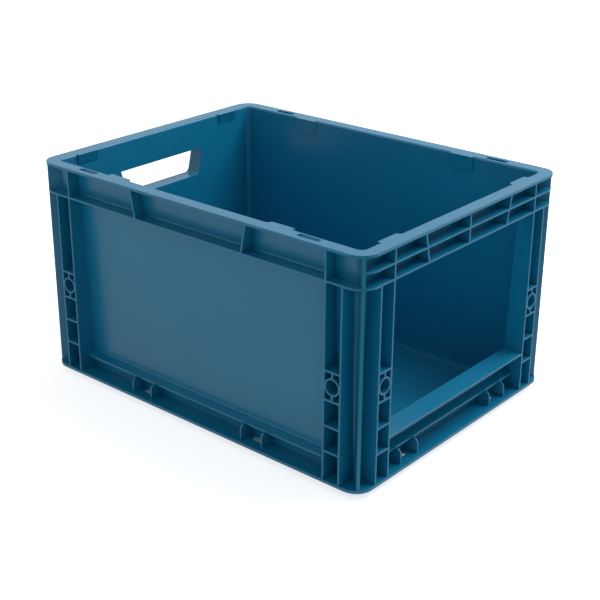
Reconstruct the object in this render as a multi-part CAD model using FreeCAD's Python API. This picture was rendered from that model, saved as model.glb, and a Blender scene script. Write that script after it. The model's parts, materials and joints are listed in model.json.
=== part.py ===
import FreeCAD, Part
import os

# Stackable storage bin with an open picking front: a ribbed injection moulding on a
# 400 x 300 mm footprint. Millimetres. +Z is up, Y runs along the 400 mm length, the open
# front faces -Y, and z = 0 is the surface the bin stands on.
# Every part of the wall is given by its inset: how far it lies in from the outer planes.

# ---- overall size -------------------------------------------------------------------
length = 400.0
width = 300.0
height = 225.0
corner_radius = 17.5

# ---- rim, flange and stacking foot --------------------------------------------------
rim_thickness = 2.6
rim_edge_radius = 1.3
flange_thickness = 3.0
foot_height = 7.0

# ---- drafted wall -------------------------------------------------------------------
wall_thickness = 2.0
wall_inset_rim = 12.0
wall_inset_kink = 16.0
wall_inset_flange = 19.6
wall_inset_foot = 21.4
kink_above_flange = 150.0
wall_corner_radius = 7.0
floor_thickness = 2.0
floor_recess = 0.4

# ---- ribs ---------------------------------------------------------------------------
rib_thickness = 1.8
rib_inset = 0.6
band_height = 28.0
band_row_height = 14.2
lean_top_long = 71.6
lean_foot_long = 65.8
lean_top_short = 66.8
lean_foot_short = 60.4

# ---- ladder columns beside each corner ------------------------------------------------
column_outer_rib = 23.5
column_inner_rib = 41.0
rung_first = 31.4
rung_pitch = 24.8
rung_count = 3
boss_cell = 27.2
boss_outer_diameter = 16.6
boss_bore_diameter = 13.4
corner_rib_thickness = 3.0
corner_rib_inset = 0.3

# ---- lower band: ledge, paired lugs and drain holes ------------------------------------
ledge_inset = 10.2
ledge_height = 18.6
ledge_thickness = 1.8
ledge_slope = 0.28
lug_inset = 4.4
lug_straight = 9.5
lug_thickness = 1.6
lug_pair_centre = 72.0
lug_pair_pitch = 25.4
drain_length = 16.0
drain_depth = 5.9
drain_inset = 11.4

# ---- front opening --------------------------------------------------------------------
sill_height = 42.5
sill_thickness = 2.2
sill_inset = 0.4

# ---- rear hand grip -------------------------------------------------------------------
grip_bottom = 159.0
grip_half_width_top = 58.5
grip_half_width_bottom = 51.5
grip_corner_radius = 4.0

# ---- rim slots and stacking pads --------------------------------------------------------
slot_centre = 135.7
slot_length = 24.0
slot_width = 6.0
slot_inset = 5.0
pad_start = 85.0
pad_end = 113.0
pad_slope = 3.0
pad_inset = 16.9
pad_height_long = 14.5
pad_height_short = 10.5

# ---- levels worked out from the sizes above ---------------------------------------------
half_x = width / 2
half_y = length / 2
flange_z = foot_height
flange_top = flange_z + flange_thickness
rim_z = height - rim_thickness
kink_z = flange_z + kink_above_flange
band_z = rim_z - band_height
band_top = band_z + rib_thickness
sill_z = flange_z + sill_height
ledge_z = flange_z + ledge_height
grip_z = flange_z + grip_bottom
floor_top = floor_recess + floor_thickness
reach = 60.0
origin = FreeCAD.Vector(0, 0, 0)
up = FreeCAD.Vector(0, 0, 1)

wall_profile = [
    (0.0, wall_inset_foot),
    (flange_z, wall_inset_flange),
    (kink_z, wall_inset_kink),
    (height, wall_inset_rim),
]


def box(x0, x1, y0, y1, z0, z1):
    return Part.makeBox(x1 - x0, y1 - y0, z1 - z0, FreeCAD.Vector(x0, y0, z0))


def prism(points, direction):
    vectors = [FreeCAD.Vector(*point) for point in points]
    vectors.append(vectors[0])
    face = Part.Face(Part.makePolygon(vectors))
    return face.extrude(FreeCAD.Vector(*direction))


def rounded_rectangle(inset, radius, z):
    """A closed outline, inset from the footprint, with arcs at its four corners."""
    hx = half_x - inset
    hy = half_y - inset
    cx = hx - radius
    cy = hy - radius
    corners = [
        (cx, -cy, -90, (-cx, -hy), (cx, -hy)),
        (cx, cy, 0, (hx, -cy), (hx, cy)),
        (-cx, cy, 90, (cx, hy), (-cx, hy)),
        (-cx, -cy, 180, (-hx, cy), (-hx, -cy)),
    ]
    edges = []
    for x, y, start, side_from, side_to in corners:
        first = FreeCAD.Vector(side_from[0], side_from[1], z)
        last = FreeCAD.Vector(side_to[0], side_to[1], z)
        edges.append(Part.makeLine(first, last))
        centre = FreeCAD.Vector(x, y, z)
        edges.append(Part.makeCircle(radius, centre, up, start, start + 90))
    return Part.Wire(edges)


def outline_block(inset, radius, z0, z1):
    face = Part.Face(rounded_rectangle(inset, radius, z0))
    return face.extrude(FreeCAD.Vector(0, 0, z1 - z0))


def drafted_block(extra_inset, radius):
    """The solid inside the drafted wall face, from the foot to the top."""
    sections = []
    for z, inset in wall_profile:
        sections.append(rounded_rectangle(inset + extra_inset, radius, z))
    return Part.makeLoft(sections, True, True)


outside = outline_block(0, corner_radius, 0, height)
rib_envelope = outline_block(rib_inset, corner_radius - rib_inset, 0, rim_z)
wall_outer = drafted_block(0, wall_corner_radius)
wall_inner = drafted_block(wall_thickness, wall_corner_radius - wall_thickness)
shell = wall_outer.cut(wall_inner)


class Side:
    """One side of the bin, worked on with its outer plane at y = -across."""

    def __init__(self, name, along, across, angle):
        self.name = name
        self.along = along
        self.across = across
        self.angle = angle

    def place(self, shape):
        turned = shape.copy()
        turned.rotate(origin, up, self.angle)
        return turned

    def zone(self, z0, z1):
        """The mitred block of this side, cut at 45 degrees through both corners."""
        a = self.along
        c = self.across
        points = [
            (-a - 1, -c - 1, z0),
            (a + 1, -c - 1, z0),
            (a - reach, -c + reach, z0),
            (-a + reach, -c + reach, z0),
        ]
        return self.place(prism(points, (0, 0, z1 - z0)))


front = Side("front", half_x, half_y, 0)
right = Side("right", half_y, half_x, 90)
rear = Side("rear", half_x, half_y, 180)
left = Side("left", half_y, half_x, -90)
sides = [front, right, rear, left]
long_sides = [left, right]

joint_x = column_inner_rib + rib_thickness / 2


def fuse_all(shapes):
    return shapes[0].multiFuse(shapes[1:]).removeSplitter()


def trim_ribs(side, shape):
    """Keeps what lies on this side, inside the rib envelope and outside the wall."""
    trimmed = side.place(shape).common(rib_envelope)
    trimmed = trimmed.common(side.zone(0, height))
    return trimmed.cut(wall_outer)


# ---- corner ribs and ladder columns -------------------------------------------------
def corner_rib(sign_x, sign_y):
    """The stout vertical rib on the diagonal of a corner."""
    envelope = outline_block(
        corner_rib_inset, corner_radius - corner_rib_inset, flange_top, rim_z
    )
    half = corner_rib_thickness / 2
    slab = box(-reach, reach, -half, half, flange_top, rim_z)
    slab.rotate(origin, up, 45 * sign_x * sign_y)
    slab.translate(FreeCAD.Vector(sign_x * half_x, sign_y * half_y, 0))
    corner = box(
        min(0, sign_x * half_x),
        max(0, sign_x * half_x),
        min(0, sign_y * half_y),
        max(0, sign_y * half_y),
        flange_top,
        rim_z,
    )
    return slab.common(corner).common(envelope).cut(wall_outer)


corner_ribs = {}
for sign_x, end_x in ((-1, "left"), (1, "right")):
    for sign_y, end_y in ((-1, "front"), (1, "rear")):
        corner_ribs[end_y + "_" + end_x] = corner_rib(sign_x, sign_y)


def upright(side, from_corner, top):
    x = side.along - from_corner
    half = rib_thickness / 2
    return box(x - half, x + half, -side.across, -side.across + reach, flange_top, top)


def shelf(side, x0, x1, z, thickness):
    return box(x0, x1, -side.across, -side.across + reach, z, z + thickness)


def boss_socket(side, z):
    """A round socket held between the two uprights by a spoke above and below."""
    x = side.along - (column_inner_rib + column_outer_rib) / 2
    start = FreeCAD.Vector(x, -side.across, z)
    inward = FreeCAD.Vector(0, 1, 0)
    tube = Part.makeCylinder(boss_outer_diameter / 2, reach, start, inward)
    bore = Part.makeCylinder(boss_bore_diameter / 2, reach, start, inward)
    half = rib_thickness / 2
    spoke_half = boss_cell / 2
    spoke = box(
        x - half,
        x + half,
        -side.across,
        -side.across + reach,
        z - spoke_half,
        z + spoke_half,
    )
    return tube.fuse(spoke).cut(bore)


def ladder_column(side, mirrored):
    """Two uprights, rungs, a boss socket and the band shelf round to the corner."""
    x_in = side.along - column_inner_rib
    x_out = side.along - column_outer_rib
    pieces = [upright(side, column_inner_rib, rim_z)]
    pieces.append(upright(side, column_outer_rib, band_top))
    rung_z = flange_z + rung_first
    for number in range(rung_count):
        level = rung_z + number * rung_pitch - rib_thickness / 2
        pieces.append(shelf(side, x_in, x_out, level, rib_thickness))
    top_rung = rung_z + (rung_count - 1) * rung_pitch
    boss_top = top_rung + boss_cell - rib_thickness / 2
    pieces.append(shelf(side, x_in, x_out, boss_top, rib_thickness))
    pieces.append(boss_socket(side, top_rung + boss_cell / 2))
    pieces.append(shelf(side, x_in, side.along, band_z, rib_thickness))
    if side not in long_sides:
        row = band_z + band_row_height
        pieces.append(shelf(side, x_in, side.along, row, rib_thickness))
    column = fuse_all(pieces)
    if mirrored:
        column = column.mirror(origin, FreeCAD.Vector(1, 0, 0))
    column = trim_ribs(side, column)
    for rib in corner_ribs.values():
        column = column.cut(rib)
    return column


# ---- upper band between the columns ---------------------------------------------------
def leaning_rib(side, foot, top, mirrored):
    """A rib that stands on the band shelf and leans outwards up to the rim."""
    half = rib_thickness / 2
    y = -side.across
    points = [
        (foot - half, y, band_z),
        (foot + half, y, band_z),
        (top + half, y, rim_z),
        (top - half, y, rim_z),
    ]
    rib = prism(points, (0, reach, 0))
    if mirrored:
        rib = rib.mirror(origin, FreeCAD.Vector(1, 0, 0))
    return rib


def upper_band(side):
    end = side.along - joint_x
    pieces = [shelf(side, -end, end, band_z, rib_thickness)]
    if side in long_sides:
        foot = lean_foot_long
        top = lean_top_long
    else:
        foot = lean_foot_short
        top = lean_top_short
        row = band_z + band_row_height
        pieces.append(shelf(side, -end, end, row, rib_thickness))
        pieces.append(leaning_rib(side, 0, 0, False))
    pieces.append(leaning_rib(side, foot, top, False))
    pieces.append(leaning_rib(side, foot, top, True))
    return trim_ribs(side, fuse_all(pieces))


# ---- lower band: ledge and paired lugs -------------------------------------------------
def ledge(side):
    """A shelf set back from the outer plane, its top falling gently outwards."""
    end = side.along - joint_x
    y = -side.across
    deep = ledge_inset + reach / 4
    rise = ledge_slope * reach / 4
    points = [
        (-end, y + ledge_inset, ledge_z - ledge_thickness),
        (-end, y + ledge_inset, ledge_z),
        (-end, y + deep, ledge_z + rise),
        (-end, y + deep, ledge_z + rise - ledge_thickness),
    ]
    return prism(points, (2 * end, 0, 0))


def lug(side, x):
    """A small web under the ledge with a rounded outer shoulder."""
    y = -side.across
    half = lug_thickness / 2
    shoulder_z = flange_top + lug_straight
    tip_z = ledge_z - ledge_thickness / 2
    back = y + ledge_inset + reach / 4
    foot = FreeCAD.Vector(x - half, y + lug_inset, flange_top)
    shoulder = FreeCAD.Vector(x - half, y + lug_inset, shoulder_z)
    tip = FreeCAD.Vector(x - half, y + ledge_inset, tip_z)
    bulge_y = y + lug_inset + (ledge_inset - lug_inset) * 0.3
    bulge_z = shoulder_z + (tip_z - shoulder_z) * 0.68
    bulge = FreeCAD.Vector(x - half, bulge_y, bulge_z)
    back_top = FreeCAD.Vector(x - half, back, tip_z)
    back_foot = FreeCAD.Vector(x - half, back, flange_top)
    edges = [
        Part.makeLine(foot, shoulder),
        Part.Arc(shoulder, bulge, tip).toShape(),
        Part.makeLine(tip, back_top),
        Part.makeLine(back_top, back_foot),
        Part.makeLine(back_foot, foot),
    ]
    face = Part.Face(Part.Wire(edges))
    return face.extrude(FreeCAD.Vector(lug_thickness, 0, 0))


def lug_positions():
    near = lug_pair_centre - lug_pair_pitch / 2
    far = lug_pair_centre + lug_pair_pitch / 2
    return [-far, -near, near, far]


def lower_band(side):
    pieces = [ledge(side)]
    for x in lug_positions():
        pieces.append(lug(side, x))
    return side.place(fuse_all(pieces)).cut(wall_outer)


# ---- flange, foot, floor and rim ------------------------------------------------------
def bottom_flange():
    """The lowest outside shelf, with a drain hole between the lugs of each pair."""
    ring = outline_block(0, corner_radius, flange_z, flange_top).cut(wall_outer)
    for side in sides:
        y = -side.across + drain_inset
        for centre in (-lug_pair_centre, lug_pair_centre):
            x0 = centre - drain_length / 2
            hole = box(x0, x0 + drain_length, y, y + drain_depth, 0, flange_top + 1)
            ring = ring.cut(side.place(hole))
    return ring


def top_rim():
    """The flat top frame with a rounded outer edge and four long slots."""
    plate = outline_block(0, corner_radius, rim_z, height)
    top_edges = [e for e in plate.Edges if e.BoundBox.ZMin > height - 0.01]
    plate = plate.makeFillet(rim_edge_radius, top_edges)
    low_edges = [e for e in plate.Edges if e.BoundBox.ZMax < rim_z + 0.01]
    plate = plate.makeFillet(rim_edge_radius / 3, low_edges)
    ring = plate.cut(wall_inner)
    for side in long_sides:
        for centre in (-slot_centre, slot_centre):
            ring = ring.cut(side.place(rim_slot(side, centre)))
    return ring


def rim_slot(side, centre):
    radius = slot_width / 2
    y = -side.across + slot_inset + radius
    run = slot_length / 2 - radius
    depth = FreeCAD.Vector(0, 0, rim_z - 1)
    middle = box(centre - run, centre + run, y - radius, y + radius, depth.z, height + 1)
    ends = []
    for x in (centre - run, centre + run):
        start = FreeCAD.Vector(x, y, depth.z)
        ends.append(Part.makeCylinder(radius, height + 1 - depth.z, start, up))
    return middle.multiFuse(ends)


def floor_panel():
    slab = box(-half_x, half_x, -half_y, half_y, floor_recess, floor_top)
    return slab.common(wall_inner)


def stacking_foot():
    """The tapered ring under the flange that drops inside the rim of a bin below."""
    return shell.common(box(-half_x, half_x, -half_y, half_y, 0, flange_z))


def stacking_pad(side, mirrored):
    """A thickened patch inside the rim that centres the foot of a bin above."""
    y = -side.across
    pad_height = pad_height_long if side in long_sides else pad_height_short
    z = height - pad_height
    points = [
        (pad_start, y, z),
        (pad_start, y + wall_inset_rim + wall_thickness, z),
        (pad_start + pad_slope, y + pad_inset, z),
        (pad_end, y + pad_inset, z),
        (pad_end, y, z),
    ]
    pad = prism(points, (0, 0, pad_height))
    if mirrored:
        pad = pad.mirror(origin, FreeCAD.Vector(1, 0, 0))
    return side.place(pad).common(wall_inner)


# ---- walls ----------------------------------------------------------------------------
def side_wall(side, z0, z1):
    return shell.common(side.zone(z0, z1))


opening_half = half_x - joint_x


def front_middle(z0, z1):
    return box(-opening_half, opening_half, -half_y - 1, -half_y + reach, z0, z1)


def front_jamb(sign):
    """The wall between the picking opening and a front corner, full height."""
    wall = side_wall(front, flange_z, rim_z)
    x0 = min(sign * opening_half, sign * half_x)
    x1 = max(sign * opening_half, sign * half_x)
    return wall.common(box(x0, x1, -half_y, -half_y + reach, flange_z, rim_z))


def front_beam():
    """The two-row beam over the picking opening."""
    back = side_wall(front, flange_z, rim_z).common(front_middle(band_z, rim_z))
    return back.fuse(upper_band(front)).removeSplitter()


def front_sill():
    """The low front wall and the flat ledge that picked goods slide over."""
    under = sill_z - sill_thickness
    wall = side_wall(front, flange_z, rim_z).common(front_middle(flange_z, under))
    plate = box(
        -opening_half,
        opening_half,
        -half_y + sill_inset,
        -half_y + reach / 2,
        under,
        sill_z,
    )
    return wall.fuse(plate.cut(wall_inner)).removeSplitter()


def grip_block(spread, z0):
    """The tapered block of the hand grip, widened all round by spread."""
    slope = (grip_half_width_top - grip_half_width_bottom) / (band_z - grip_z)
    low = grip_half_width_bottom + spread - slope * (grip_z - z0)
    high = grip_half_width_top + spread
    y = -half_y
    points = [(-low, y, z0), (low, y, z0), (high, y, band_z), (-high, y, band_z)]
    block = prism(points, (0, reach, 0))
    lower = [
        e
        for e in block.Edges
        if e.BoundBox.ZMax < z0 + 0.01 and e.BoundBox.YLength > reach - 1
    ]
    return block.makeFillet(grip_corner_radius + spread, lower)


def rear_wall():
    hole = rear.place(grip_block(0, grip_z))
    return side_wall(rear, flange_z, rim_z).cut(hole)


def hand_grip():
    """The shroud that carries the grip opening out to the rear plane."""
    tube = grip_block(rib_thickness, grip_z - rib_thickness).cut(grip_block(0, grip_z))
    return trim_ribs(rear, tube)


# ---- every node, by name ---------------------------------------------------------------
nodes = {
    "floor_panel": floor_panel(),
    "stacking_foot": stacking_foot(),
    "bottom_flange": bottom_flange(),
    "left_side_wall": side_wall(left, flange_z, rim_z),
    "right_side_wall": side_wall(right, flange_z, rim_z),
    "rear_wall": rear_wall(),
    "hand_grip": hand_grip(),
    "front_jamb_left": front_jamb(-1),
    "front_jamb_right": front_jamb(1),
    "front_sill": front_sill(),
    "front_beam": front_beam(),
    "upper_band_left": upper_band(left),
    "upper_band_right": upper_band(right),
    "upper_band_rear": upper_band(rear),
    "top_rim": top_rim(),
}
for side in sides:
    nodes["lower_band_" + side.name] = lower_band(side)
for place, rib in corner_ribs.items():
    nodes["corner_rib_" + place] = rib

# Turning a side brings its mirrored end to the places named here.
column_ends = {
    "front": ("right", "left"),
    "rear": ("left", "right"),
    "right": ("rear", "front"),
    "left": ("front", "rear"),
}
for side in sides:
    for mirrored, end in zip((False, True), column_ends[side.name]):
        nodes["column_" + side.name + "_" + end] = ladder_column(side, mirrored)
        nodes["pad_" + side.name + "_" + end] = stacking_pad(side, mirrored)

os.makedirs("parts", exist_ok=True)
for name, shape in nodes.items():
    if len(shape.Solids) == 1:
        shape = shape.Solids[0]
    print(name, "solids", len(shape.Solids), "volume", round(shape.Volume), shape.isValid())
    shape.exportStep("parts/" + name + ".step")
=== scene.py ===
# %% [markdown]
# # A stackable storage bin, modelled and lit in Blender
# The real bin is one shot of polypropylene: thin drafted walls, a flat rim, and ribs on the
# outside that make the walls stiff. The CAD frame is loaded first. It gives the size that the
# visual model has to keep, and the names of the regions that the new pieces stand for.

# %% Load the CAD frame
import json
import math

import bmesh
import bpy
from mathutils import Matrix, Vector

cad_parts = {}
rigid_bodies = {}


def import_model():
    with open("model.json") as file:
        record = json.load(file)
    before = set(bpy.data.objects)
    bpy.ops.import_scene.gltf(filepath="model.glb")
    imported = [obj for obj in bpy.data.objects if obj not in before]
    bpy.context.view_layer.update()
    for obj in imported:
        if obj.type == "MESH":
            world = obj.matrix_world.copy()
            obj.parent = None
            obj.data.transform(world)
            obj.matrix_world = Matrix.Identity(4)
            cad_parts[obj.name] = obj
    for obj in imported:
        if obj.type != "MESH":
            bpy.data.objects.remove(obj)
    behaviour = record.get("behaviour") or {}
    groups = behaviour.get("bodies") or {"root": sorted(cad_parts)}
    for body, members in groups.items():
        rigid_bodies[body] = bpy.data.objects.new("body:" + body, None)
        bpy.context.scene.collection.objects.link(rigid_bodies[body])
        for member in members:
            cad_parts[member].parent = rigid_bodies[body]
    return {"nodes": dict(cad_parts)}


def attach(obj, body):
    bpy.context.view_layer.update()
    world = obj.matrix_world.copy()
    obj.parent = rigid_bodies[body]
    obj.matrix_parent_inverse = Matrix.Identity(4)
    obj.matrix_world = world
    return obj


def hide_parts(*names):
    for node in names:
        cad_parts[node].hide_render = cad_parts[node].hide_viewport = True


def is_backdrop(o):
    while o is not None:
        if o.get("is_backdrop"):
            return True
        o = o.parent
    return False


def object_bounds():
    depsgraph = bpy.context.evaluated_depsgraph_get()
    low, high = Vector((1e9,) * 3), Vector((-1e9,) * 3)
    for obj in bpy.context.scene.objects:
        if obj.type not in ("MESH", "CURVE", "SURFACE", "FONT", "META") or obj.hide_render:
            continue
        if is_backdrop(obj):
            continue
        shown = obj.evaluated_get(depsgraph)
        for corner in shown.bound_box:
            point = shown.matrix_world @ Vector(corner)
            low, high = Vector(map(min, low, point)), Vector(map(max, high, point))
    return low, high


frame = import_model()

cad_low, cad_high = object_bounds()
print("CAD box", [round(v, 4) for v in cad_low], [round(v, 4) for v in cad_high])

# %% [markdown]
# ## Sizes
# Every size is in millimetres, as on a drawing, and is turned to metres only where a shape is
# made. A wall is described by its inset: how far it lies in from the outer planes of the bin.

# %% Name the sizes
MM = 0.001
LENGTH = 400.0
WIDTH = 300.0
HEIGHT = 225.0
FLANGE_Z = 7.0
FLANGE_TOP = 10.0
KINK_Z = 157.0
RIM_Z = 222.4
FLOOR_UNDER = 0.4
FLOOR_TOP = 2.4
WALL = 2.0
RIM_RADIUS = 17.5
WALL_RADIUS = 7.0
RIB = 1.8
RIB_INSET = 0.6
SINK = 1.0
WALL_LEVELS = [(0.0, 21.4), (FLANGE_Z, 19.6), (KINK_Z, 16.0), (HEIGHT, 12.0)]


def wall_inset(z):
    """How far the outer face of the wall lies in from the outer plane, at height z."""
    for (z0, inset0), (z1, inset1) in zip(WALL_LEVELS, WALL_LEVELS[1:]):
        if z <= z1:
            return inset0 + (inset1 - inset0) * (z - z0) / (z1 - z0)
    return WALL_LEVELS[-1][1]


print("wall inset at the rim", round(wall_inset(RIM_Z), 2), "mm")

# %% [markdown]
# ## Small tools
# Blender's operators act on whatever is selected, so each step starts with a clean selection.
# Three tools are used again and again: one that opens a new empty piece in edit mode, one that
# adds a block between two corners, and one that cuts, joins or trims with a Boolean modifier.
# A block that is going to be trimmed, and a cutter, reach a little past their target.

# %% Two small distances
NEAR = 0.1
PAST = 1.0
print("a point counts as found within", NEAR, "mm")


# %% Tools for selecting and for opening a piece
def deselect_all():
    if bpy.context.mode != "OBJECT":
        bpy.ops.object.mode_set(mode="OBJECT")
    bpy.ops.object.select_all(action="DESELECT")


def make_active(piece):
    deselect_all()
    piece.select_set(True)
    bpy.context.view_layer.objects.active = piece


def open_new_piece(name):
    """A new empty mesh at the origin, left open in edit mode."""
    deselect_all()
    bpy.ops.mesh.primitive_cube_add(size=1, location=(0, 0, 0))
    piece = bpy.context.object
    piece.name = name
    piece.data.name = name
    bpy.ops.object.mode_set(mode="EDIT")
    bpy.ops.mesh.select_all(action="SELECT")
    bpy.ops.mesh.delete(type="VERT")
    return piece


def close_piece(piece):
    """Turns all faces outwards and goes back to object mode."""
    bpy.ops.mesh.select_all(action="SELECT")
    bpy.ops.mesh.normals_make_consistent(inside=False)
    bpy.ops.object.mode_set(mode="OBJECT")
    return piece


# %% A tool that adds a block between two corners, in the open piece
def add_block(x0, x1, y0, y1, z0, z1):
    centre = ((x0 + x1) / 2 * MM, (y0 + y1) / 2 * MM, (z0 + z1) / 2 * MM)
    bpy.ops.mesh.primitive_cube_add(size=1, location=centre)
    size = (abs(x1 - x0) * MM, abs(y1 - y0) * MM, abs(z1 - z0) * MM)
    bpy.ops.transform.resize(value=size, center_override=centre)


def select_where(piece, test, keep=False):
    """Selects the vertices of the open piece whose place, in millimetres, passes the test."""
    mesh = bmesh.from_edit_mesh(piece.data)
    for vertex in mesh.verts:
        chosen = test(vertex.co / MM) and (vertex.select or not keep)
        vertex.select_set(chosen)
    mesh.select_flush_mode()
    bmesh.update_edit_mesh(piece.data)


# %% A tool that cuts, joins or trims one piece with another
MERGE = 0.01


def merge_doubles(piece):
    """Merges points that lie closer together than the MERGE distance."""
    make_active(piece)
    bpy.ops.object.mode_set(mode="EDIT")
    bpy.ops.mesh.select_all(action="SELECT")
    bpy.ops.mesh.remove_doubles(threshold=MERGE * MM)
    bpy.ops.mesh.dissolve_degenerate(threshold=MERGE * MM)
    bpy.ops.object.mode_set(mode="OBJECT")


def combine(piece, other, how, remove=True):
    make_active(piece)
    step = piece.modifiers.new("combine", "BOOLEAN")
    step.operation = how
    step.object = other
    step.solver = "EXACT"
    step.use_self = True
    bpy.ops.object.modifier_apply(modifier=step.name)
    merge_doubles(piece)
    if remove:
        bpy.data.objects.remove(other)
    return piece


print("tools ready")

# %% [markdown]
# ## The shell: foot, flange, walls, rim and floor in one sweep
# A lathe turns one profile round an axis. Here the same idea goes round a rounded rectangle:
# each point of the profile becomes a ring, and neighbouring rings are bridged with faces. It
# gives clean four-sided faces everywhere, and the draft of the walls comes for free. The
# alternative, a hollowed cube, would need a separate cut for every step of the profile.


# %% A ring: the rounded outline at one height
CORNER_STEPS = 8


def add_ring(inset, radius, z):
    """A rectangle with its four corners rounded, left as a loop of edges."""
    place = (0, 0, z * MM)
    bpy.ops.mesh.primitive_plane_add(size=1, location=place)
    size = ((WIDTH - 2 * inset) * MM, (LENGTH - 2 * inset) * MM, 1)
    bpy.ops.transform.resize(value=size, center_override=place)
    bpy.ops.mesh.bevel(offset=radius * MM, segments=CORNER_STEPS, affect="VERTICES")


def number_new_ring(piece, number):
    """Writes the ring's number on the vertices just added, which are the selected ones."""
    mesh = bmesh.from_edit_mesh(piece.data)
    ring_of = mesh.verts.layers.int.get("ring") or mesh.verts.layers.int.new("ring")
    for vertex in mesh.verts:
        if vertex.select:
            vertex[ring_of] = number


def bridge_rings(piece, one, two):
    mesh = bmesh.from_edit_mesh(piece.data)
    ring_of = mesh.verts.layers.int.get("ring")
    bpy.ops.mesh.select_all(action="DESELECT")
    for vertex in mesh.verts:
        vertex.select_set(vertex[ring_of] in (one, two))
    mesh.select_flush_mode()
    bmesh.update_edit_mesh(piece.data)
    bpy.ops.mesh.bridge_edge_loops()


def sweep(name, rings, closed):
    """Bridges rings, given as (z, inset, radius), one after the other."""
    piece = open_new_piece(name)
    last = len(rings) - 1
    for number, (z, inset, radius) in enumerate(rings):
        add_ring(inset, radius, z)
        number_new_ring(piece, number)
        if closed or 0 < number < last:
            bpy.ops.mesh.delete(type="ONLY_FACE")
    for number in range(last):
        bridge_rings(piece, number, number + 1)
    if closed:
        bridge_rings(piece, last, 0)
    return close_piece(piece)


# %% [markdown]
# Two rings at the same height have the same centre, and then Blender can't tell which way to
# bridge them. So each flat face falls by a few hundredths of a millimetre from one ring to the
# next. The rim is swept 1 mm too high, because its top is cut flat together with its pads.
#
# Two rounds are part of the profile: a small one where the wall meets the floor, and a larger
# one inside the rim, which guides the foot of the bin above. Each is a few rings on an arc.

# %% The round inside the rim, and the steep lip above it that the flat cut removes
FALL = 0.03
SPARE = 1.0
INNER_RADIUS = WALL_RADIUS - WALL
INNER_ROUND = 2.0
LIP = 0.8
LIP_RISE = 0.15
LIP_DRAFT = 0.05
rim_inside = wall_inset(HEIGHT) + WALL
lip_inset = rim_inside - INNER_ROUND - LIP
lip_radius = INNER_RADIUS + INNER_ROUND + LIP
inner_round = []
for degrees in (67.5, 45.0, 22.5, 0.0):
    angle = math.radians(degrees)
    drop = INNER_ROUND * (1 - math.sin(angle))
    step_in = INNER_ROUND * (1 - math.cos(angle))
    inner_round.append((HEIGHT - drop, rim_inside - step_in, INNER_RADIUS + step_in))
print("rings on the inner round", len(inner_round))

# %% Sweep the shell
RECESS_INSET = 23.4
RECESS_DRAFT = 0.1
FLOOR_ROUND = 1.2
FLOOR_MID_RADIUS = 4.6
floor_mid = FLOOR_ROUND * 0.3
foot_inside = wall_inset(FLOOR_TOP) + WALL
shell_rings = [
    (FLOOR_UNDER, RECESS_INSET - RECESS_DRAFT, INNER_RADIUS),
    (FALL, RECESS_INSET, INNER_RADIUS),
    (0.0, wall_inset(0.0), WALL_RADIUS),
    (FLANGE_Z, wall_inset(FLANGE_Z), WALL_RADIUS),
    (FLANGE_Z + FALL, 0.0, RIM_RADIUS),
    (FLANGE_TOP - FALL, 0.0, RIM_RADIUS),
    (FLANGE_TOP, wall_inset(FLANGE_TOP), WALL_RADIUS),
    (KINK_Z, wall_inset(KINK_Z), WALL_RADIUS),
    (RIM_Z, wall_inset(RIM_Z), WALL_RADIUS),
    (RIM_Z + FALL, 0.0, RIM_RADIUS),
    (HEIGHT + SPARE - FALL, 0.0, RIM_RADIUS),
    (HEIGHT + SPARE, lip_inset - LIP_DRAFT, lip_radius + LIP_DRAFT),
    (HEIGHT + LIP_RISE, lip_inset, lip_radius),
    *inner_round,
    (KINK_Z, wall_inset(KINK_Z) + WALL, INNER_RADIUS),
    (FLANGE_Z, wall_inset(FLANGE_Z) + WALL, INNER_RADIUS),
    (FLOOR_TOP + FLOOR_ROUND, foot_inside, INNER_RADIUS),
    (FLOOR_TOP + floor_mid, foot_inside + floor_mid, FLOOR_MID_RADIUS),
    (FLOOR_TOP, foot_inside + FLOOR_ROUND, INNER_RADIUS - FLOOR_ROUND),
]
shell = sweep("bin_shell", shell_rings, closed=False)
print("shell", len(shell.data.vertices), "vertices", len(shell.data.polygons), "faces")

# %% [markdown]
# ## The rib zone
# On the real moulding every rib starts at the wall and ends just inside the outer planes. A
# closed ring of solid, between those two surfaces, is swept once. Each set of ribs is drawn as
# plain deep blocks and then trimmed to this zone, so that all ribs follow the drafted wall. The
# zone reaches 1 mm into the wall, the flange and the rim, so that the ribs join on with no gap.

# %% Sweep the rib zone
zone_low = FLANGE_TOP - SINK
zone_high = RIM_Z + SINK
zone_rings = [
    (zone_low + FALL, RIB_INSET, RIM_RADIUS - RIB_INSET),
    (zone_high - FALL, RIB_INSET, RIM_RADIUS - RIB_INSET),
    (zone_high, wall_inset(RIM_Z) + SINK, WALL_RADIUS - SINK),
    (KINK_Z, wall_inset(KINK_Z) + SINK, WALL_RADIUS - SINK),
    (zone_low, wall_inset(FLANGE_TOP) + SINK, WALL_RADIUS - SINK),
]
rib_zone = sweep("rib_zone", zone_rings, closed=True)
print("rib zone", len(rib_zone.data.polygons), "faces")

# %% [markdown]
# ## One side's ribs, drawn flat
# A side is drawn as if it were the front one: x runs along it, z is up, and the outer plane is at
# y = -across. Two uprights and their rungs make a ladder column beside each corner. The rows of
# shelves under the rim and the ribs that lean outwards make the upper band. All blocks go in
# one open piece. They overlap, and the Boolean that trims them also joins them.
#
# A mould leaves a small hollow round, a cove, where a long shelf's top meets the wall. A block
# with one edge bevelled inwards, with a low profile value, gives it.

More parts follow.
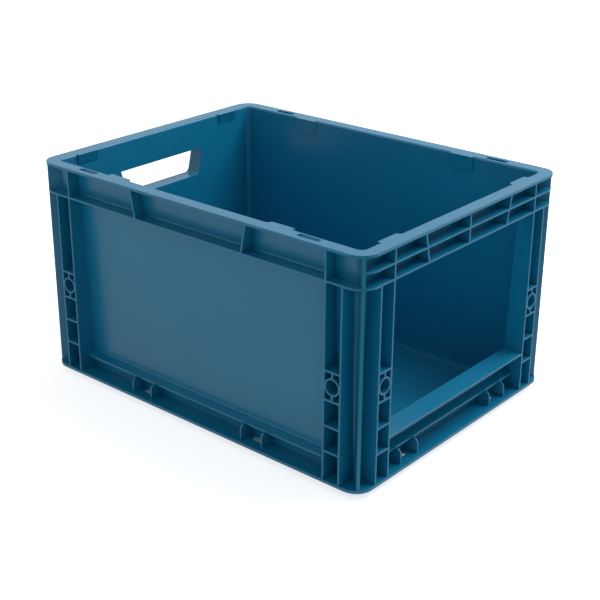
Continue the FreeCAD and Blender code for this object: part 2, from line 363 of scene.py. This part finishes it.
# %% Sizes of the ribs
COLUMN_OUTER = 23.5
COLUMN_INNER = 41.0
RUNG_FIRST = 38.4
RUNG_PITCH = 24.8
RUNG_COUNT = 3
BOSS_CELL = 27.2
BOSS_OUTSIDE = 16.6
BOSS_BORE = 13.4
BAND_Z = 194.4
BAND_ROW = 14.2
RIB_DEPTH = 21.0
BAR_STEPS = 32
LONG_LEAN = (65.8, 71.6)
SHORT_LEAN = (60.4, 66.8)
boss_z = RUNG_FIRST + (RUNG_COUNT - 1) * RUNG_PITCH + BOSS_CELL / 2
print("boss sockets at", boss_z, "mm")


# %% The ladder column
def add_upright(x, across, top):
    add_block(x - RIB / 2, x + RIB / 2, -across, RIB_DEPTH - across, zone_low - PAST, top)


def add_shelf(x0, x1, across, z):
    add_block(x0, x1, -across, RIB_DEPTH - across, z, z + RIB)


def add_round_boss(x, across, diameter, depth):
    """A round bar through the ribs, centred on the boss socket."""
    place = (x * MM, (depth / 2 - across) * MM, boss_z * MM)
    bpy.ops.mesh.primitive_cylinder_add(
        vertices=BAR_STEPS,
        radius=diameter / 2 * MM,
        depth=depth * MM,
        location=place,
        rotation=(math.pi / 2, 0, 0),
    )


def add_column(sign, along, across, rows):
    outer = sign * (along - COLUMN_OUTER)
    inner = sign * (along - COLUMN_INNER)
    add_upright(inner, across, zone_high + PAST)
    add_upright(outer, across, BAND_Z + RIB)
    levels = [RUNG_FIRST + number * RUNG_PITCH for number in range(RUNG_COUNT)]
    levels.append(levels[-1] + BOSS_CELL)
    for level in levels:
        add_shelf(inner, outer, across, level - RIB / 2)
    for row in range(rows):
        add_shelf(inner, sign * along, across, BAND_Z + row * BAND_ROW)
    middle = (inner + outer) / 2
    add_round_boss(middle, across, BOSS_OUTSIDE, RIB_DEPTH)
    spoke = (middle - RIB / 2, middle + RIB / 2)
    add_block(*spoke, -across, RIB_DEPTH - across, levels[-2], levels[-1])


# %% The upper band
COVE = 1.5
COVE_SINK = 0.04
COVE_HOLLOW = 0.086
COVE_STEPS = 5


def add_leaning_rib(piece, foot, top, across):
    """A block stood on the shelf, whose top is then pushed sideways."""
    start, end = foot - RIB / 2, foot + RIB / 2
    add_block(start, end, -across, RIB_DEPTH - across, BAND_Z, zone_high + PAST)
    select_where(piece, lambda v: v.z > zone_high, keep=True)
    bpy.ops.transform.translate(value=((top - foot) * MM, 0, 0))


def add_cove(piece, end, across, inset, z):
    """A hollow round that leads from a shelf's top up into the wall."""
    front = inset - across
    top = z - COVE_SINK + COVE
    add_block(-end, end, front, RIB_DEPTH - across, z - RIB / 2, top)
    select_where(piece, lambda v: v.y < front + NEAR and v.z > top - NEAR, keep=True)
    bpy.ops.mesh.bevel(
        offset=COVE * MM, segments=COVE_STEPS, profile=COVE_HOLLOW, affect="EDGES"
    )


def add_band(piece, along, across, rows, lean):
    end = along - COLUMN_INNER
    if rows == 1:
        z = BAND_Z + RIB
        add_cove(piece, end, across, wall_inset(z + COVE) + COVE_SINK - COVE, z)
    for row in range(rows):
        add_shelf(-end, end, across, BAND_Z + row * BAND_ROW)
    for sign in (-1, 1):
        add_leaning_rib(piece, sign * lean[0], sign * lean[1], across)
    if rows > 1:
        add_leaning_rib(piece, 0, 0, across)


# %% [markdown]
# ## The mitre at the corners
# Two sides meet on the diagonal of a corner, inside the stout corner rib. Bisect cuts each
# side's shelves just before that diagonal, so no shelf runs on into the cells of the next side.


# %% Cut both ends of a side beside the diagonal
MITRE_GAP = 0.8


def mitre(along, across):
    for sign in (-1, 1):
        bpy.ops.mesh.select_all(action="SELECT")
        bpy.ops.mesh.bisect(
            plane_co=(sign * (along - MITRE_GAP) * MM, -across * MM, 0),
            plane_no=(sign, 1, 0),
            clear_outer=True,
            use_fill=True,
        )


# %% Build, bore, turn and trim one side's ribs
def side_ribs(name, along, across, rows, lean, quarter_turns, add_extra=None):
    ribs = open_new_piece(name)
    for sign in (-1, 1):
        add_column(sign, along, across, rows)
    add_band(ribs, along, across, rows, lean)
    mitre(along, across)
    if add_extra:
        add_extra(ribs)
    close_piece(ribs)
    bores = open_new_piece("bores")
    for sign in (-1, 1):
        middle = sign * (along - (COLUMN_OUTER + COLUMN_INNER) / 2)
        add_round_boss(middle, across + PAST, BOSS_BORE, RIB_DEPTH + 2 * PAST)
    close_piece(bores)
    combine(ribs, bores, "DIFFERENCE")
    turn(ribs, quarter_turns)
    combine(ribs, rib_zone, "INTERSECT", remove=False)
    return ribs


def turn(piece, quarter_turns):
    """Turns a piece about the bin's upright axis and writes the turn into its mesh."""
    make_active(piece)
    piece.rotation_euler = (0, 0, quarter_turns * math.pi / 2)
    bpy.ops.object.transform_apply(location=True, rotation=True, scale=True)


# %% [markdown]
# ## Sill plate and grip shroud
# Two more blocks belong to the short sides. The sill plate lies on the low front wall, so that
# goods slide over a smooth edge. At the rear a tapered block surrounds the hand grip. Both are
# drawn with their side's ribs, because they end in the same outer plane, and the openings are
# cut through them later.

# %% The sill plate
SILL_TOP = 49.5
SILL_THICKNESS = 2.2
OPENING_HALF = 108.1


def add_sill(piece):
    end = OPENING_HALF + RIB / 2
    front = -LENGTH / 2
    low = SILL_TOP - SILL_THICKNESS
    add_block(-end, end, front, front + RIB_DEPTH, low, SILL_TOP + SPARE)


# %% The tapered block of the hand grip
GRIP_Z = 166.0
GRIP_TOP_HALF = 58.5
GRIP_FOOT_HALF = 51.5
GRIP_ROUND = 4.0
GRIP_STEPS = 6


def add_grip(piece, spread, y0, y1, high):
    """A block that narrows to rounded lower corners, grown all round by spread."""
    foot = GRIP_FOOT_HALF + spread
    low = GRIP_Z - spread
    add_block(-foot, foot, y0, y1, low, high)
    select_where(piece, lambda v: v.z > high - NEAR, keep=True)
    wider = (GRIP_TOP_HALF + spread) / foot
    bpy.ops.transform.resize(value=(wider, 1, 1), center_override=(0, 0, high * MM))
    bpy.ops.mesh.select_linked()
    radius = (GRIP_ROUND + spread) * MM
    for sign in (-1, 1):
        select_where(piece, lambda v: v.z < low + NEAR and sign * v.x > foot - NEAR, keep=True)
        bpy.ops.mesh.bevel(offset=radius, segments=GRIP_STEPS, affect="EDGES")
        bpy.ops.mesh.select_linked()


def add_shroud(piece):
    front = -LENGTH / 2
    add_grip(piece, RIB, front, front + RIB_DEPTH, BAND_Z + RIB / 2)


# %% The ribs of all four sides
front_ribs = side_ribs("front_ribs", WIDTH / 2, LENGTH / 2, 2, SHORT_LEAN, 0, add_sill)
rear_ribs = side_ribs("rear_ribs", WIDTH / 2, LENGTH / 2, 2, SHORT_LEAN, 2, add_shroud)
right_ribs = side_ribs("long_ribs_right", LENGTH / 2, WIDTH / 2, 1, LONG_LEAN, 1)
left_ribs = side_ribs("long_ribs_left", LENGTH / 2, WIDTH / 2, 1, LONG_LEAN, 3)
for ribs in (front_ribs, rear_ribs, right_ribs, left_ribs):
    print(ribs.name, len(ribs.data.polygons), "faces")

# %% [markdown]
# ## The corner ribs
# A stout rib stands on the diagonal of each corner, from the flange to the rim. It is one block,
# turned by 45 degrees in edit mode and moved out to the corner. The trim to the rib zone gives
# it the rounded front of the corner. Without a window Blender turns the other way round and
# takes the wrong pivot, so the pivot is given.


# %% The four corner ribs
STOUT_RIB = 3.0
STOUT_REACH = 36.0


def corner_rib(name, sign_x, sign_y):
    rib = open_new_piece(name)
    half = STOUT_RIB / 2
    add_block(-STOUT_REACH, STOUT_REACH, -half, half, zone_low - PAST, zone_high + PAST)
    bpy.ops.transform.rotate(
        value=-math.pi / 4 * sign_x * sign_y, orient_axis="Z", center_override=(0, 0, 0)
    )
    place = (sign_x * WIDTH / 2 * MM, sign_y * LENGTH / 2 * MM, 0)
    bpy.ops.transform.translate(value=place)
    close_piece(rib)
    return combine(rib, rib_zone, "INTERSECT", remove=False)


corner_ribs = []
for end_y, sign_y in (("front", -1), ("rear", 1)):
    for end_x, sign_x in (("left", -1), ("right", 1)):
        corner_ribs.append(corner_rib(f"stout_rib_{end_y}_{end_x}", sign_x, sign_y))
print(len(corner_ribs), "corner ribs")

# %% [markdown]
# ## The lower band
# A short shelf runs between the columns just over the flange, set back from the outer plane. Its
# top falls gently outwards. Two pairs of small lugs hold it up, each with a rounded shoulder,
# which here is an edge bevel in several steps.

# %% Sizes of the lower band
LEDGE_INSET = 10.2
LEDGE_Z = 25.6
LEDGE_RISE = 0.28
LUG_INSET = 4.4
LUG_THICKNESS = 1.6
LUG_CENTRE = 72.0
LUG_PITCH = 25.4
LUG_SHOULDER = 5.2
SHOULDER_STEPS = 5
lug_places = []
for sign in (-1, 1):
    for half in (-LUG_PITCH / 2, LUG_PITCH / 2):
        lug_places.append(sign * LUG_CENTRE + half)
print("lugs at", lug_places)


# %% Model one lower band
def add_ledge(piece, along, across):
    end = along - COLUMN_INNER
    front = LEDGE_INSET - across
    back = RIB_DEPTH - across
    add_block(-end, end, front, back, LEDGE_Z - RIB, LEDGE_Z)
    select_where(piece, lambda v: v.y > back - NEAR, keep=True)
    rise = (RIB_DEPTH - LEDGE_INSET) * LEDGE_RISE
    bpy.ops.transform.translate(value=(0, 0, rise * MM))


def add_lug(piece, x, across):
    half = LUG_THICKNESS / 2
    top = LEDGE_Z - RIB / 2
    front = LUG_INSET - across
    add_block(x - half, x + half, front, RIB_DEPTH - across, zone_low - PAST, top)
    select_where(piece, lambda v: v.y < front + NEAR and v.z > top - NEAR, keep=True)
    bpy.ops.mesh.bevel(offset=LUG_SHOULDER * MM, segments=SHOULDER_STEPS, affect="EDGES")


def lower_band(name, along, across, quarter_turns):
    band = open_new_piece(name)
    add_ledge(band, along, across)
    front = wall_inset(LEDGE_Z + 2 * COVE) + COVE_SINK - COVE
    low = LEDGE_Z + (front - LEDGE_INSET) * LEDGE_RISE
    add_cove(band, along - COLUMN_INNER, across, front, low)
    for x in lug_places:
        add_lug(band, x, across)
    close_piece(band)
    turn(band, quarter_turns)
    return combine(band, rib_zone, "INTERSECT", remove=False)


lower_bands = [
    lower_band("lower_ledge_front", WIDTH / 2, LENGTH / 2, 0),
    lower_band("lower_ledge_right", LENGTH / 2, WIDTH / 2, 1),
    lower_band("lower_ledge_rear", WIDTH / 2, LENGTH / 2, 2),
    lower_band("lower_ledge_left", LENGTH / 2, WIDTH / 2, 3),
]
print(len(lower_bands), "lower bands")

# %% [markdown]
# ## The stacking pads
# Eight thickened patches inside the rim centre the foot of the bin above. They share a face with
# the rim, so they are joined to the shell before any edge is rounded. That keeps a seam from
# showing where the real bin has none. The pads of the short sides taper off downwards.

# %% The eight pads
PAD_START = 85.0
PAD_END = 113.0
PAD_SLOPE = 3.0
PAD_INSET = 16.9
PAD_SET_BACK = 1.1
PAD_TAPER = 2.0
SHORT_PAD = (LENGTH / 2, 10.5, PAD_TAPER)
LONG_PAD = (WIDTH / 2, 14.5, 0.0)


def add_pad(piece, sign, across, height, taper):
    """A block with a slanted end, a top that is wider at the back, and a taper."""
    back = wall_inset(HEIGHT) + SINK - across
    face = PAD_INSET - across
    ends = sorted((sign * PAD_START, sign * PAD_END))
    add_block(*ends, back, face, HEIGHT - height, HEIGHT + SPARE / 2)
    start = sign * PAD_START
    select_where(piece, lambda v: v.y > face - NEAR and abs(v.x - start) < NEAR, keep=True)
    bpy.ops.transform.translate(value=(sign * PAD_SLOPE * MM, 0, 0))
    select_where(piece, lambda v: v.y < back + NEAR and v.z > HEIGHT and v.x * sign > 0)
    bpy.ops.transform.translate(value=(0, -PAD_SET_BACK * MM, 0))
    select_where(piece, lambda v: v.y > face - NEAR and v.z < HEIGHT and v.x * sign > 0)
    bpy.ops.transform.translate(value=(0, -taper * MM, 0))


pads = []
for quarter_turns, sizes in enumerate([SHORT_PAD, LONG_PAD, SHORT_PAD, LONG_PAD]):
    pair = open_new_piece("pads")
    for sign in (-1, 1):
        add_pad(pair, sign, *sizes)
    close_piece(pair)
    turn(pair, quarter_turns)
    pads.append(pair)
print(len(pads), "pairs of stacking pads")

# %% [markdown]
# ## Join and cut the shell
# The short sides' ribs and the pads are joined to the shell. Then come the cuts: the flat top,
# the picking opening, the hand grip, the four slots in the rim and the eight drain holes in the
# flange. All cutters are drawn in one piece, so that one Boolean makes all the cuts.

# %% Join
make_active(front_ribs)
for part in [rear_ribs] + pads:
    part.select_set(True)
bpy.ops.object.join()
combine(shell, front_ribs, "UNION")
print("joined shell", len(shell.data.polygons), "faces")

# %% Draw the cutters for the top, the picking opening and the hand grip
TOP_CUT = 10.0
CUT_INSIDE = 165.0
CUT_OUTSIDE = LENGTH / 2 + 5
cutters = open_new_piece("cutters")
add_block(-WIDTH, WIDTH, -LENGTH, LENGTH, HEIGHT, HEIGHT + TOP_CUT)
add_block(-OPENING_HALF, OPENING_HALF, -CUT_OUTSIDE, -CUT_INSIDE, SILL_TOP, BAND_Z)
add_grip(cutters, 0, CUT_INSIDE, CUT_OUTSIDE, BAND_Z)

# %% Draw the cutters for the rim slots
SLOT_CENTRE = 135.7
SLOT_LENGTH = 24.0
SLOT_WIDTH = 6.0
SLOT_INSET = 5.0
SLOT_END = 0.98
SLOT_STEPS = 6
SLOT_CUT = 4.0


def add_slot(piece, x, y):
    """An upright block whose four upright edges are rounded into two half circles."""
    half_x = SLOT_WIDTH / 2
    half_y = SLOT_LENGTH / 2
    low, high = RIM_Z - PAST, HEIGHT + SLOT_CUT
    add_block(x - half_x, x + half_x, y - half_y, y + half_y, low, high)
    bpy.ops.mesh.select_mode(type="EDGE")
    mesh = bmesh.from_edit_mesh(piece.data)
    upright = [
        edge
        for edge in mesh.edges
        if edge.select and abs(edge.verts[0].co.z - edge.verts[1].co.z) > MM
    ]
    bpy.ops.mesh.select_all(action="DESELECT")
    for edge in upright:
        edge.select_set(True)
    bmesh.update_edit_mesh(piece.data)
    bpy.ops.mesh.bevel(offset=half_x * SLOT_END * MM, segments=SLOT_STEPS, affect="EDGES")
    bpy.ops.mesh.select_mode(type="VERT")


slot_x = WIDTH / 2 - SLOT_INSET - SLOT_WIDTH / 2
for sign_x in (-1, 1):
    for sign_y in (-1, 1):
        add_slot(cutters, sign_x * slot_x, sign_y * SLOT_CENTRE)

# %% Draw the cutters for the drain holes
DRAIN_LENGTH = 16.0
DRAIN_DEPTH = 5.9
DRAIN_INSET = 11.4
half = DRAIN_LENGTH / 2
low, high = FLANGE_Z - PAST, FLANGE_TOP + PAST
for sign in (-1, 1):
    for centre in (-LUG_CENTRE, LUG_CENTRE):
        start, end = centre - half, centre + half
        near_y = sign * (LENGTH / 2 - DRAIN_INSET)
        near_x = sign * (WIDTH / 2 - DRAIN_INSET)
        depth = sign * DRAIN_DEPTH
        add_block(start, end, near_y, near_y - depth, low, high)
        add_block(near_x, near_x - depth, start, end, low, high)
close_piece(cutters)

# %% Cut
combine(shell, cutters, "DIFFERENCE")
bpy.data.objects.remove(rib_zone)
print("cut shell", len(shell.data.polygons), "faces")

# %% [markdown]
# ## Rounded edges
# A mould can't make a knife edge, and a rounded edge catches a thin line of light that tells the
# eye the part is plastic. Only edges that stick out are rounded. They are found by the angle
# between their two faces, and bevelled in edit mode. Edges of ribs that are buried in the wall
# are left out, because a round there would open a gap. The rim's outer edge gets a larger
# round first, because hands carry the bin by it.


# %% Find the edges that stick out
SHARP = math.radians(35)
BURIED = 0.1
RIM_EDGE = 0.3


def select_edges(piece, test):
    """Selects the edges of the open piece that pass the test, and nothing else."""
    mesh = bmesh.from_edit_mesh(piece.data)
    bpy.ops.mesh.select_all(action="DESELECT")
    count = 0
    for edge in mesh.edges:
        if len(edge.link_faces) == 2 and test(edge):
            edge.select_set(True)
            count += 1
    for face in mesh.faces:
        face.select = False
    bmesh.update_edit_mesh(piece.data)
    return count


def sticks_out(edge):
    return edge.calc_face_angle_signed() > SHARP


def shows_and_sticks_out(edge):
    """The same test for ribs, without the edges that are buried in the wall."""
    buried = 0
    for vertex in edge.verts:
        place = vertex.co / MM
        inset = min(WIDTH / 2 - abs(place.x), LENGTH / 2 - abs(place.y))
        buried += inset > wall_inset(place.z) - BURIED
    return buried < 2 and sticks_out(edge)


def is_rim_edge(edge):
    for vertex in edge.verts:
        place = vertex.co / MM
        beyond_x = abs(place.x) - (WIDTH / 2 - RIM_RADIUS)
        beyond_y = abs(place.y) - (LENGTH / 2 - RIM_RADIUS)
        corner = math.hypot(max(beyond_x, 0), max(beyond_y, 0))
        if place.z < HEIGHT - NEAR or corner < RIM_RADIUS - RIM_EDGE:
            return False
    return True


# %% Round and smooth
RIM_ROUND = 0.8
RIM_STEPS = 3
EDGE_ROUND = 0.55
EDGE_STEPS = 2
SMOOTH_UNDER = math.radians(40)


def round_edges(piece, test, radius, steps):
    make_active(piece)
    bpy.ops.object.mode_set(mode="EDIT")
    bpy.ops.mesh.select_mode(type="EDGE")
    count = select_edges(piece, test)
    bpy.ops.mesh.bevel(
        offset=radius * MM, segments=steps, affect="EDGES", clamp_overlap=False
    )
    bpy.ops.mesh.select_mode(type="VERT")
    bpy.ops.object.mode_set(mode="OBJECT")
    print(piece.name, count, "edges rounded,", len(piece.data.polygons), "faces")


def smooth(piece):
    make_active(piece)
    bpy.ops.object.shade_smooth_by_angle(angle=SMOOTH_UNDER)
    step = piece.modifiers.new("weighted normals", "WEIGHTED_NORMAL")
    step.keep_sharp = True
    bpy.ops.object.modifier_apply(modifier=step.name)


# %% Round every piece
round_edges(shell, is_rim_edge, RIM_ROUND, RIM_STEPS)
moulding = [shell, left_ribs, right_ribs] + corner_ribs + lower_bands
for piece in moulding:
    test = sticks_out if piece == shell else shows_and_sticks_out
    round_edges(piece, test, EDGE_ROUND, EDGE_STEPS)
    smooth(piece)

# %% [markdown]
# ## The finish: injection-moulded polypropylene
# Polypropylene is a slightly waxy, semi-gloss plastic. The pigment goes right through, so the
# colour hardly changes from place to place, and the steel of the mould leaves a fine satin
# texture. Two patterns are used, both on Object coordinates, which are metres here. A slow one,
# as from the flow of the melt, shifts the tone and the roughness a little. A fine one, the
# satin of the mould, gives a very shallow bump.


# %% Colour and node helpers
def linear(code):
    """An sRGB hex code as the linear colour that shaders use."""
    parts = [int(code[i : i + 2], 16) / 255 for i in (1, 3, 5)]
    values = [p / 12.92 if p <= 0.04045 else ((p + 0.055) / 1.055) ** 2.4 for p in parts]
    return (*values, 1.0)


def add_node(tree, kind, settings=None, inputs=None, links=None):
    """A node with its settings, its input values, and the sockets that feed it."""
    node = tree.nodes.new(kind)
    for name, value in (settings or {}).items():
        setattr(node, name, value)
    for name, value in (inputs or {}).items():
        node.inputs[name].default_value = value
    for name, socket in (links or {}).items():
        tree.links.new(socket, node.inputs[name])
    return node


# %% Injection-moulded polypropylene
PP_DEEP = "#0A7198"
PP_LIGHT = "#0D779D"
FLOW_SIZE = 60.0
FLOW_DETAIL = 2.0
FLOW_ROUGHNESS = 0.4
SATIN_SIZE = 1.2
SATIN_DETAIL = 3.0
BUMP_STRENGTH = 0.12
BUMP_DEPTH = 0.02
GLOSS_END = 0.27
SATIN_END = 0.33
PLASTIC_IOR = 1.49


def make_polypropylene():
    material = bpy.data.materials.new("injection-moulded polypropylene")
    material.use_nodes = True
    tree = material.node_tree
    tree.nodes.clear()
    place = add_node(tree, "ShaderNodeTexCoord").outputs["Object"]
    flow = add_node(
        tree,
        "ShaderNodeTexNoise",
        inputs={
            "Scale": 1 / (FLOW_SIZE * MM),
            "Detail": FLOW_DETAIL,
            "Roughness": FLOW_ROUGHNESS,
        },
        links={"Vector": place},
    )
    tone = add_node(
        tree,
        "ShaderNodeMix",
        settings={"data_type": "RGBA"},
        links={"Factor": flow.outputs["Fac"]},
    )
    # A Mix node has sockets for each kind of data. Inputs 6 and 7 and output 2 are the colours.
    tone.inputs[6].default_value = linear(PP_DEEP)
    tone.inputs[7].default_value = linear(PP_LIGHT)
    satin = add_node(
        tree,
        "ShaderNodeTexNoise",
        inputs={"Scale": 1 / (SATIN_SIZE * MM), "Detail": SATIN_DETAIL},
        links={"Vector": place},
    )
    rough = add_node(
        tree,
        "ShaderNodeMapRange",
        inputs={"To Min": GLOSS_END, "To Max": SATIN_END},
        links={"Value": flow.outputs["Fac"]},
    )
    bump = add_node(
        tree,
        "ShaderNodeBump",
        inputs={"Strength": BUMP_STRENGTH, "Distance": BUMP_DEPTH * MM},
        links={"Height": satin.outputs["Fac"]},
    )
    shader = add_node(
        tree,
        "ShaderNodeBsdfPrincipled",
        inputs={"IOR": PLASTIC_IOR},
        links={
            "Base Color": tone.outputs[2],
            "Roughness": rough.outputs["Result"],
            "Normal": bump.outputs["Normal"],
        },
    )
    add_node(
        tree,
        "ShaderNodeOutputMaterial",
        links={"Surface": shader.outputs["BSDF"]},
    )
    return material


polypropylene = make_polypropylene()

# %% [markdown]
# ## Hand over to the frame
# Each new piece takes the finish, rides on the bin's one body, and hides the CAD regions it
# stands for. Those regions stay in the physics model and aren't drawn.


# %% Hide the CAD regions that each piece stands for
def stand_for(piece, *nodes):
    piece.data.materials.clear()
    piece.data.materials.append(polypropylene)
    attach(piece, "root")
    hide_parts(*nodes)


shell_nodes = [
    "floor_panel", "stacking_foot", "bottom_flange", "left_side_wall", "right_side_wall",
    "rear_wall", "hand_grip", "front_jamb_left", "front_jamb_right", "front_sill",
    "front_beam", "upper_band_rear", "top_rim", "column_front_left", "column_front_right",
    "column_rear_left", "column_rear_right", "pad_front_left", "pad_front_right",
    "pad_rear_left", "pad_rear_right", "pad_left_front", "pad_left_rear",
    "pad_right_front", "pad_right_rear",
]  # fmt: skip
stand_for(shell, *shell_nodes)
stand_for(left_ribs, "upper_band_left", "column_left_front", "column_left_rear")
stand_for(right_ribs, "upper_band_right", "column_right_front", "column_right_rear")
for rib in corner_ribs:
    stand_for(rib, rib.name.replace("stout_rib", "corner_rib"))
for band in lower_bands:
    stand_for(band, band.name.replace("lower_ledge", "lower_band"))
left_over = [n for n, o in frame["nodes"].items() if not o.hide_render]
print("CAD nodes still drawn:", left_over)

# %% [markdown]
# ## Floor and backdrop
# The bin stands on a plain white floor. The floor is a diffuse surface with a little glow added
# for the camera only, which lifts the open floor to white and still leaves the soft shadow
# under the bin. Reflections see a pale glowing floor instead, with painted shade beyond the near
# corner: there the glow seen in reflections is turned down, which paints a darker reflection onto
# the corner's rib so that it keeps its depth. Neither of them lights anything.


# %% The floor
FLOOR_RADIUS = 6.0
FLOOR_STEPS = 64
FLOOR_GREY = "#EEEEEE"
FLOOR_LIFT = 0.7
FLOOR_MIRRORED = 0.75
# Painted shade in reflections: towards the near corner the reflected floor dims to this glow.
PAINTED_SHADE_MIRRORED = 0.15
PAINTED_SHADE_SIDE = (-0.75, -0.66, 0.0)
PAINTED_SHADE_START = 0.28
PAINTED_SHADE_END = 0.45


def make_floor_finish():
    material = bpy.data.materials.new("white floor")
    material.use_nodes = True
    tree = material.node_tree
    tree.nodes.clear()
    matt = add_node(tree, "ShaderNodeBsdfDiffuse", inputs={"Color": linear(FLOOR_GREY)})
    rays = add_node(tree, "ShaderNodeLightPath")
    lift = add_node(
        tree,
        "ShaderNodeMath",
        settings={"operation": "MULTIPLY"},
        inputs={1: FLOOR_LIFT},
        links={0: rays.outputs["Is Camera Ray"]},
    )
    glow = add_node(tree, "ShaderNodeEmission", links={"Strength": lift.outputs[0]})
    both = add_node(tree, "ShaderNodeAddShader")
    tree.links.new(matt.outputs[0], both.inputs[0])
    tree.links.new(glow.outputs[0], both.inputs[1])
    # Painted shade: the floor's glow seen in reflections fades darker towards the near corner.
    place = add_node(tree, "ShaderNodeTexCoord").outputs["Object"]
    painted_shade_nearness = add_node(
        tree,
        "ShaderNodeVectorMath",
        settings={"operation": "DOT_PRODUCT"},
        inputs={1: PAINTED_SHADE_SIDE},
        links={0: place},
    )
    painted_shade_fade = add_node(
        tree,
        "ShaderNodeMapRange",
        inputs={
            "From Min": PAINTED_SHADE_START,
            "From Max": PAINTED_SHADE_END,
            "To Min": FLOOR_MIRRORED,
            "To Max": PAINTED_SHADE_MIRRORED,
        },
        links={"Value": painted_shade_nearness.outputs["Value"]},
    )
    mirrored = add_node(
        tree, "ShaderNodeEmission", links={"Strength": painted_shade_fade.outputs["Result"]}
    )
    mix = add_node(tree, "ShaderNodeMixShader")
    tree.links.new(rays.outputs["Is Glossy Ray"], mix.inputs[0])
    tree.links.new(both.outputs[0], mix.inputs[1])
    tree.links.new(mirrored.outputs[0], mix.inputs[2])
    add_node(tree, "ShaderNodeOutputMaterial", links={"Surface": mix.outputs[0]})
    return material


deselect_all()
bpy.ops.mesh.primitive_circle_add(
    vertices=FLOOR_STEPS, radius=FLOOR_RADIUS, fill_type="NGON", location=(0, 0, 0)
)
floor = bpy.context.object
floor.name = "floor"
floor.data.materials.append(make_floor_finish())
floor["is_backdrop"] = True

# %% [markdown]
# ## Light
# A plain studio: an even grey surround, which is white for the camera and pale in reflections,
# and two soft square lamps. The key lamp stands high, to the right and a little in front. It
# makes the rim the brightest part, and it throws a soft slanting shadow on the inner side of
# the rear wall. A weak fill lamp on the left keeps the ribs in the shade readable.


# %% The surround
AROUND = 0.39
MIRRORED = 0.84


def make_surround():
    world = bpy.data.worlds.new("studio")
    world.use_nodes = True
    tree = world.node_tree
    tree.nodes.clear()
    rays = add_node(tree, "ShaderNodeLightPath")
    for_mirror = add_node(
        tree,
        "ShaderNodeMath",
        settings={"operation": "MULTIPLY_ADD"},
        inputs={1: MIRRORED - AROUND, 2: AROUND},
        links={0: rays.outputs["Is Glossy Ray"]},
    )
    level = add_node(
        tree,
        "ShaderNodeMath",
        settings={"operation": "MULTIPLY_ADD"},
        inputs={1: 1 - AROUND},
        links={0: rays.outputs["Is Camera Ray"], 2: for_mirror.outputs[0]},
    )
    white = add_node(
        tree,
        "ShaderNodeBackground",
        inputs={"Color": (1, 1, 1, 1)},
        links={"Strength": level.outputs[0]},
    )
    add_node(tree, "ShaderNodeOutputWorld", links={"Surface": white.outputs[0]})
    bpy.context.scene.world = world


make_surround()

# %% The lamps: place, size of the square in metres, and power in watts
MIDDLE = (0, 0, 0.11)
KEY = ((1.03, -0.62, 1.96), 1.3, 40)
FILL = ((-1.7, 0.4, 0.9), 1.2, 3)


def add_softbox(name, place, size, power):
    lamp = bpy.data.lights.new(name, "AREA")
    lamp.shape = "SQUARE"
    lamp.size = size
    lamp.energy = power
    holder = bpy.data.objects.new(name, lamp)
    bpy.context.scene.collection.objects.link(holder)
    holder.location = place
    away = Vector(place) - Vector(MIDDLE)
    holder.rotation_euler = away.to_track_quat("Z", "Y").to_euler()


add_softbox("key", *KEY)
add_softbox("fill", *FILL)
print("lamps ready")

# %% [markdown]
# ## Camera
# The camera stands off the near left corner of the open front and looks down over the rim, with
# a lens of 74.8 mm on a 36 mm sensor. A small sideways shift frames the bin.

# %% The camera
AZIMUTH = math.radians(-48.702)
ELEVATION = math.radians(23.466)
TILT = math.radians(-0.11)
CAMERA_PLACE = (-0.87305, -0.74266, 0.58107)
LENS = 74.766
SENSOR = 36.0
SHIFT = (0.0389, 0.0018)
lens = bpy.data.cameras.new("camera")
lens.lens = LENS
lens.sensor_width = SENSOR
lens.shift_x, lens.shift_y = SHIFT
camera = bpy.data.objects.new("camera", lens)
bpy.context.scene.collection.objects.link(camera)
camera.location = CAMERA_PLACE
back = Vector(
    (
        math.sin(AZIMUTH) * math.cos(ELEVATION),
        -math.cos(AZIMUTH) * math.cos(ELEVATION),
        math.sin(ELEVATION),
    )
)
level_view = back.to_track_quat("Z", "Y")
tilt = Matrix.Rotation(TILT, 4, back)
camera.rotation_euler = (tilt @ level_view.to_matrix().to_4x4()).to_euler()
bpy.context.scene.camera = camera
bpy.context.scene.view_settings.view_transform = "Standard"
print("camera at", [round(v, 3) for v in camera.location])

# %% Measure the size of the visual model
low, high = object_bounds()
sizes = {
    "cad": [list(cad_low), list(cad_high)],
    "visual": [list(low), list(high)],
}
print("visual box", [round(v, 4) for v in low], [round(v, 4) for v in high])
